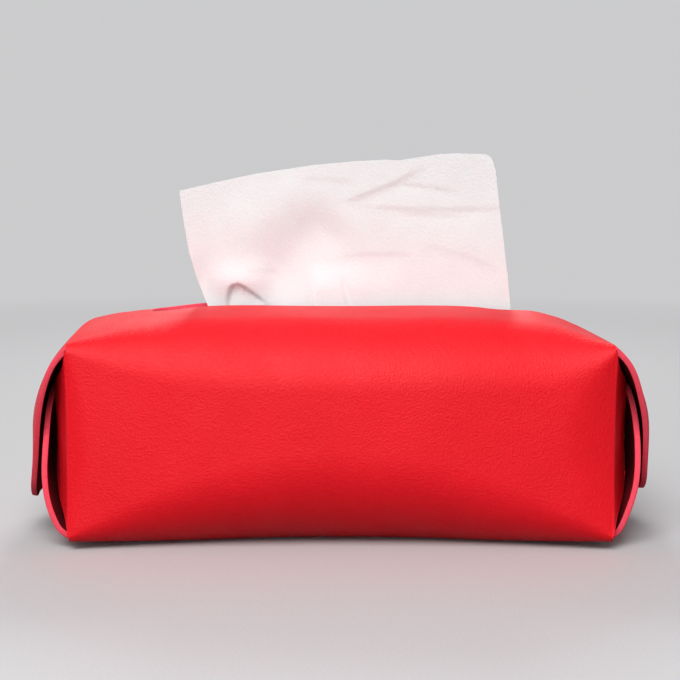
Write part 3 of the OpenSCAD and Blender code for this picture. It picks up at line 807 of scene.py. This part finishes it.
def build_tab(end, facts, place, front):
    """One side tab: it leaves the panel in a tight bend and then runs straight in behind the flaps."""
    side = facts["side"]
    root_gain, root_reach, root_fade, shift = 6.4, 3.0, 8.0, 9
    path, lengths, headings, insets = tab_path(facts)
    share = np.linspace(0, 1, 31)
    grid = np.zeros((len(path), len(share), 3))
    for i, ((x, y), length, inset) in enumerate(zip(path, lengths, insets)):
        margin = TAB_MARGIN + TAB_TAPER * length / TAB_REACH + inset
        margin -= root_gain * math.exp(-length / root_reach)
        high = CORNER - margin - (DROP_RIGHT if end == "right" and not front else 0)
        grid[i, :, 0] = x
        grid[i, :, 1] = y
        grid[i, :, 2] = between(LIFT + margin, high, share)
    grid[:, :, 1] += facts["curl"] * curl_share(grid[:1, :, 2])
    normal = np.stack([np.sin(headings), -np.cos(headings), 0 * headings], axis=1)[:, None, :]
    bumps = ripple(grid[:, :, 1], grid[:, :, 2] + shift * side, UNEVEN)
    calm = smooth(np.array(lengths)[:, None] / root_fade)
    grid = grid + normal * (TAB_UNEVEN * bumps * calm)[:, :, None]
    inner = grid - normal * LEATHER
    soft = np.ones(grid.shape[:2])
    soft[0] = 0
    flip = np.array([side, 1.0 if front else -1.0, 1.0])
    tab = shell(f"tab_{place}_{end}", grid * flip, inner * flip, TAB_SET_PAINTED_SHADE, None, soft)
    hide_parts(f"side_tab_{place}_{end}")
    y = -END_DEPTH / 2 * flip[1]
    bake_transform(tab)


for end, facts in ENDS.items():
    build_flaps(end, facts)
    build_tab(end, facts, "front", True)
    build_tab(end, facts, "back", False)


# The tissues

def resampled(ring, count):
    """The same closed ring with another number of points."""
    closed = np.concatenate([ring, ring[:1]])
    length = np.concatenate([[0], np.cumsum(np.linalg.norm(np.diff(closed, axis=0), axis=1))])
    places = np.arange(count) / count * length[-1]
    return np.stack([np.interp(places, length, closed[:, k]) for k in range(3)], axis=1)


def stack_ring(level, tuck):
    """The stack's outline at one level above its foot, tucked in by a little."""
    corner, play, roll, step_length = 2.2, 0.3, 16, 4
    dip = roll * (1 - math.sqrt(1 - (max(0, STACK_ROUND - level) / STACK_ROUND) ** 2))
    hx = STACK_LENGTH / 2 - play - tuck
    hy = STACK_DEPTH / 2 - play - dip - tuck
    ring = []
    for sx, sy, turn in ((1, 1, 0), (-1, 1, 90), (-1, -1, 180), (1, -1, 270)):
        for t in np.radians(np.linspace(0, 90, 5)) + math.radians(turn):
            ring.append((sx * (hx - corner) + corner * math.cos(t),
                         sy * (hy - corner) + corner * math.sin(t), STACK_BASE + level))
    ring = np.array(ring)
    fine = []
    for a, b in zip(ring, np.roll(ring, -1, axis=0)):
        steps = max(1, int(np.linalg.norm(b - a) / step_length))
        fine += [between(a, b, t) for t in np.arange(steps) / steps]
    return np.array(fine)


def build_stack():
    """The stack with its sheets drawn as fine uneven ridges, and the lower edges rolled up."""
    layers = 66
    ridge_depth, drift_depth, drift_rate = 0.34, 0.18, 2.3
    rows = []
    for k, level in enumerate(np.linspace(0, STACK_TOP - STACK_BASE, 2 * layers + 1)):
        tuck = ridge_depth if k % 2 else drift_depth * math.sin(drift_rate * k)
        rows.append(stack_ring(level, tuck))
    count = min(len(row) for row in rows)
    points = np.array([row if len(row) == count else resampled(row, count) for row in rows])
    sway_depth, sway_span = 0.25, 50
    sway = np.sin(points[:, :, 0] / 19 + points[:, :, 2] / 7) * np.sin(points[:, :, 1] / 23)
    points[:, :, :2] *= (1 - np.abs(sway_depth * sway) / sway_span)[:, :, None]
    faces = []
    for r in range(len(rows) - 1):
        for c in range(count):
            a, b = r * count + c, r * count + (c + 1) % count
            faces.append((a, b, b + count, a + count))
    hub = len(rows) * count
    for start, middle, up in ((0, hub, False), (hub - count, hub + 1, True)):
        for c in range(count):
            a, b = start + c, start + (c + 1) % count
            faces.append((a, b, middle) if up else (b, a, middle))
    points = np.concatenate([points.reshape(-1, 3), [(0, 0, STACK_BASE), (0, 0, STACK_TOP)]])
    mesh = bpy.data.meshes.new("layered_stack")
    mesh.from_pydata((points * METRE).tolist(), [], faces)
    mesh.materials.append(STACKED)
    mesh.update()
    stack = added("layered_stack", mesh)
    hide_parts("tissue_stack")
    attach(stack, "cover")
    return stack


# The drawn tissue's outline and the arch over its pocket. The two side edges are (z, x) points, and the
# top edge and the arch are (x, z) points.
LEFT_EDGE = np.array([(71, -66), (76, -59), (82, -52.5), (87.7, -53.4), (93, -55.6), (99.4, -58.1),
                      (110.3, -61), (122, -63), (134.3, -64.6)])
RIGHT_EDGE = np.array([(71, 66.5), (78, 68.6), (86.7, 68.6), (100, 67.2), (112.3, 65.7), (129.5, 63.5),
                       (138, 62.5), (142.3, 62), (145.4, 61.2), (147.6, 60), (148.6, 58.9), (149, 57.6)])
TOP_EDGE = np.array([(-64.6, 134.3), (-49.1, 137.9), (-33.5, 141.2), (-12.3, 144.4), (5.3, 146.1),
                     (17.7, 146.7), (23.5, 146.4), (31, 147.6), (40.1, 149), (47, 149.2), (57.6, 149)])
ARCH = np.array([(-46.4, 84), (-46.0, 90.5), (-45.1, 94.2), (-43.7, 96.4), (-41.8, 97.2), (-39.5, 96.4),
                 (-35.5, 93.4), (-31.0, 90.2), (-27.0, 86.6)])
POCKET_LEFT = -46.4
POCKET_RIGHT = -27.2
POCKET_DEPTH = 1.3
TISSUE_THICK = 0.22
TISSUE_ROUND = 0.05
TISSUE_FLOOR = STACK_TOP + 0.55
TISSUE_TURN = 0.6


def along_line(x, z, start, stop, bow=0.0):
    """How far along a line from start to stop a point lies, as a share, and how far above it."""
    a, b = np.array(start, float), np.array(stop, float)
    d = b - a
    length = np.hypot(*d)
    t = ((x - a[0]) * d[0] + (z - a[1]) * d[1]) / length ** 2
    off = ((x - a[0]) * -d[1] + (z - a[1]) * d[0]) / length
    beyond, fade = 0.2, 0.4
    shown = smooth((t + beyond) / fade) * smooth((1 + beyond - t) / fade)
    return shown, off - bow * (1 - (2 * t - 1) ** 2)


def ridge(x, z, start, stop, width, depth):
    """A long soft rise or hollow between two points, fading at both its ends."""
    fade, off = along_line(x, z, start, stop)
    return depth * fade * np.exp(-(off / width) ** 2)


def pleat(x, z, start, stop, sharp, wide, depth, bow=0.0):
    """A crease that turns sharply back under a line and comes forward again slowly below it."""
    fade, off = along_line(x, z, start, stop, bow)
    under = np.clip(-off, 0, None)
    return -depth * fade * (1 - np.exp(-(under / sharp) ** 1.5)) * np.exp(-under / wide)


def puff(x, z, centre, reach, depth):
    """A soft round rise."""
    return depth * np.exp(-((x - centre[0]) / reach[0]) ** 2 - ((z - centre[1]) / reach[1]) ** 2)


def tissue_relief(x, z):
    """How far the tissue stands towards the viewer, in millimetres."""
    out = puff(x, z, (-41, 98), (9, 6), 2.4)
    out += 1.9 * smooth((x + 15) / 6) * smooth((34 - x) / 38) * smooth((106 - z) / 12)
    out -= puff(x, z, (-55.5, 97), (4, 11), 1.7)
    out -= ridge(x, z, (-27, 101), (-3, 121), 12, 2.3)
    out -= puff(x, z, (-25, 95), (7, 9), 1.4)
    out += ridge(x, z, (-44, 116), (-16, 134), 10, 0.8)
    out += pleat(x, z, (2, 131.4), (30, 143.2), 1.9, 7.0, 1.0, -0.9)
    out += pleat(x, z, (13, 128.8), (64, 128.6), 1.5, 5.0, 0.75, -1.0)
    out += pleat(x, z, (22, 125.4), (50, 124.6), 1.2, 4.0, 0.35, 0.5)
    out += pleat(x, z, (23, 137.6), (45, 134.6), 0.9, 4.0, 0.5, 0.7)
    out += pleat(x, z, (0, 108.8), (27, 109.6), 1.4, 5.0, 0.5, 0.6)
    out += pleat(x, z, (-14, 140), (4, 138.5), 1.4, 5.0, 0.4, 0.6)
    out += pleat(x, z, (36, 113), (63, 104), 2.2, 7.0, 0.5, 0.8)
    out += pleat(x, z, (-37, 103), (-25, 102), 1.2, 3.5, 0.5, 0.5)
    out -= ridge(x, z, (1.2, 98.0), (4.6, 85), 0.9, 1.0)
    out += 0.16 * ripple(x, z, ((1, 7, 6, 0.5), (0.8, 4, 5, 2.2), (0.6, 2.3, 2.9, 1.2)))
    out += 0.4 * np.sin(x / 15 + 0.8) * smooth((z - 108) / 25)
    return out


def lying_line():
    """The (y, z) line of the tissue's folds on the stack, up to where it rises into the slot."""
    front, back, rise_start, rise = -29, 40, 3.2, 3
    upper = TISSUE_FLOOR + 2 * TISSUE_TURN
    line = [(y, TISSUE_FLOOR) for y in np.linspace(front, back, 15)]
    for t in np.radians(np.linspace(-90, 90, 7)[1:]):
        line.append((back + TISSUE_TURN * math.cos(t), TISSUE_FLOOR + TISSUE_TURN * (1 + math.sin(t))))
    for y in np.linspace(back, rise_start, 9)[1:]:
        line.append((y, upper))
    for t in np.radians(np.linspace(0, 90, 7)[1:]):
        line.append((rise_start - rise * math.sin(t), upper + rise * (1 - math.cos(t))))
    return line


def lying_rows(share, line, start):
    """The rows of the tissue that lie on the stack, drawn together a little where they rise."""
    left, right, drawn, rise, wave = -66.2, 66.8, 0.25, 3, 0.12
    standing = between(np.interp(start, *LEFT_EDGE.T), np.interp(start, *RIGHT_EDGE.T), share)
    rows = []
    for y, z in line:
        pull = smooth((z - TISSUE_FLOOR - 2 * TISSUE_TURN) / rise) * drawn
        x = between(between(left, right, share), standing, pull)
        uneven = wave * np.sin(x / 6 + y / 9)
        rows.append(np.stack([x, np.full_like(x, y), np.full_like(x, z) + uneven], axis=1))
    return rows


def standing_rows(share, start):
    """The rows of the tissue that stand up through the slot, to its top edge."""
    foot_share, lean = 0.22, 0.8
    lowest_relief, relief_start, relief_fade = 86, 74, 8
    arch_fade, left_fade, right_fade = 0.5, 1.2, 0.8
    pocket_start, pocket_fade, wave_depth, wave_length = 78, 5, 0.2, 1.7
    length = np.concatenate([[0], np.cumsum(np.hypot(*np.diff(TOP_EDGE, axis=0).T))])
    along = share * length[-1]
    top_x = np.interp(along, length, TOP_EDGE[:, 0])
    top_z = np.interp(along, length, TOP_EDGE[:, 1])
    top_left, top_right = np.interp(top_z, *LEFT_EDGE.T), np.interp(top_z, *RIGHT_EDGE.T)
    top_share = np.clip((top_x - top_left) / (top_right - top_left), 0, 1)
    rows = []
    for v in np.concatenate([np.linspace(0, foot_share, 30)[1:], np.linspace(foot_share, 1, 74)[1:]]):
        z = start + (top_z - start) * v
        left = np.interp(z, *LEFT_EDGE.T)
        right = np.interp(z, *RIGHT_EDGE.T)
        x = between(left, right, between(share, top_share, smooth(v)))
        near = tissue_relief(x, np.clip(z, lowest_relief, None)) * smooth((z - relief_start) / relief_fade)
        arch_top = np.interp(x, ARCH[:, 0], ARCH[:, 1], left=0, right=0)
        under = smooth((arch_top - z) / arch_fade + 0.5) * smooth((x - POCKET_LEFT) / left_fade)
        under = under * smooth((POCKET_RIGHT - x) / right_fade)
        under = under * smooth((z - pocket_start) / pocket_fade)
        pocket = -POCKET_DEPTH + wave_depth * np.sin(x / wave_length)
        y = -between(near, np.minimum(pocket, near), under) - lean * v * v
        rows.append(np.stack([x, y, z], axis=1))
    return rows


def build_tissue():
    """The top tissue as one real sheet: two folds flat on the stack, then up through the slot."""
    columns = 134
    share = np.linspace(0, 1, columns + 1)
    line = lying_line()
    start = line[-1][1]
    grid = np.array(lying_rows(share, line, start) + standing_rows(share, start))
    inner = grid - grid_normals(grid) * TISSUE_THICK
    tissue = shell("drawn_tissue", grid, inner, (PAPER, PAPER, PAPER), rounding=TISSUE_ROUND)
    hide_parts("pulled_tissue")
    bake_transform(tissue)
    return tissue


stack = build_stack()
tissue = build_tissue()

for name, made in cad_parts.items():
    if name.startswith("snap_") or name == "seam_stitches":
        made.data.materials.clear()
        made.data.materials.append(THREAD if name == "seam_stitches" else BRASS)


# Floor, light and camera

GROUND = (0.6, 0.6, 0.61, 1)


def seen_directly(tree):
    """1 for the rays that show the background itself, and 0 for its light on the object."""
    path = tree.nodes.new("ShaderNodeLightPath")
    total = path.outputs["Is Camera Ray"]
    for name in ("Is Glossy Ray", "Is Transmission Ray"):
        more = tree.nodes.new("ShaderNodeMath")
        more.operation = "MAXIMUM"
        tree.links.new(total, more.inputs[0])
        tree.links.new(path.outputs[name], more.inputs[1])
        total = more.outputs[0]
    return total


FLOOR_REACH = 6.0


def build_floor():
    """A pale floor that turns into the plain background further away."""
    s = Shader("pale_floor", Roughness=0.6, Specular_IOR_Level=0.2)
    seen = seen_directly(s.tree)
    speckle = s.spread(s.noise(900.0, 3.0), 0.3, 0.7)
    pale = s.mix(speckle, (0.63, 0.63, 0.64, 1), (0.67, 0.67, 0.68, 1))
    s.put(s.surface.inputs["Base Color"], s.mix(seen, (0.1, 0.1, 0.1, 1), pale))
    distance = s.node("ShaderNodeVectorMath", {0: s.place}, operation="LENGTH").outputs["Value"]
    far = s.math("MULTIPLY", s.spread(distance, 0.3, 1.1), seen)
    glow = s.node("ShaderNodeEmission", {"Color": GROUND, "Strength": 1.0}).outputs[0]
    blend = s.node("ShaderNodeMixShader", {0: far, 1: s.surface.outputs[0], 2: glow}).outputs[0]
    s.put(s.tree.nodes["Material Output"].inputs["Surface"], blend)
    mesh = bpy.data.meshes.new("floor")
    corners = ((-1, -1, 0), (1, -1, 0), (1, 1, 0), (-1, 1, 0))
    mesh.from_pydata((np.array(corners) * FLOOR_REACH).tolist(), [], [(0, 1, 2, 3)])
    mesh.materials.append(s.material)
    floor = added("floor", mesh)


def build_light(name, place, aim, size, power):
    """A soft lamp that faces its aim, with its sizes in metres and its power in watts."""
    data = bpy.data.lights.new(name, "AREA")
    data.shape = "RECTANGLE"
    data.size, data.size_y = size
    data.energy = power
    lamp = added(name, data)
    lamp.location = place
    away = np.array(place) - np.array(aim)
    lamp.rotation_euler = (math.atan2(math.hypot(away[0], away[1]), away[2]), 0,
                           math.atan2(away[0], -away[1]))


LOW_SKY = 0.1
HIGH_SKY = 0.28


def build_world():
    """A soft studio: light mostly from above, and a plain pale background."""
    world = bpy.data.worlds.new("studio")
    bpy.context.scene.world = world
    world.use_nodes = True
    tree = world.node_tree
    fill = tree.nodes["Background"]
    place = tree.nodes.new("ShaderNodeTexCoord")
    parts = tree.nodes.new("ShaderNodeSeparateXYZ")
    tree.links.new(place.outputs["Generated"], parts.inputs[0])
    height = tree.nodes.new("ShaderNodeMapRange")
    for socket, value in (("From Min", 0.0), ("From Max", 1.0), ("To Min", LOW_SKY), ("To Max", HIGH_SKY)):
        height.inputs[socket].default_value = value
    tree.links.new(parts.outputs["Z"], height.inputs["Value"])
    fill.inputs["Color"].default_value = (1, 1, 1, 1)
    tree.links.new(height.outputs[0], fill.inputs["Strength"])
    ground = tree.nodes.new("ShaderNodeBackground")
    ground.inputs["Color"].default_value = GROUND
    mix = tree.nodes.new("ShaderNodeMixShader")
    tree.links.new(seen_directly(tree), mix.inputs[0])
    tree.links.new(fill.outputs[0], mix.inputs[1])
    tree.links.new(ground.outputs[0], mix.inputs[2])
    tree.links.new(mix.outputs[0], tree.nodes["World Output"].inputs["Surface"])


# The camera as solved from the photo: millimetres on its sensor, metres in the scene, degrees downwards
SENSOR = 36.0
LENS = 89.8
CAMERA_PLACE = (-0.00029, -0.68196, 0.1496)
CAMERA_PITCH = 6.306


def build_camera():
    data = bpy.data.cameras.new("camera")
    data.sensor_width = SENSOR
    data.lens = LENS
    camera = added("camera", data)
    camera.location = CAMERA_PLACE
    camera.rotation_euler = (math.radians(90 - CAMERA_PITCH), 0, 0)
    bpy.context.scene.camera = camera


build_floor()
build_world()
build_light("key", (-0.22, -1.05, 1.14), (0, 0, 0.05), (1.0, 1.0), 20.4)
build_light("front_fill", (-0.2, -1.5, 0.27), (0, 0, 0.05), (0.5, 0.5), 4.4)
build_light("back_box", (0, 0.75, 0.62), (0, 0, 0.08), (0.24, 0.24), 2.8)
build_camera()
bpy.context.scene.view_settings.view_transform = "Standard"


bpy.context.view_layer.update()
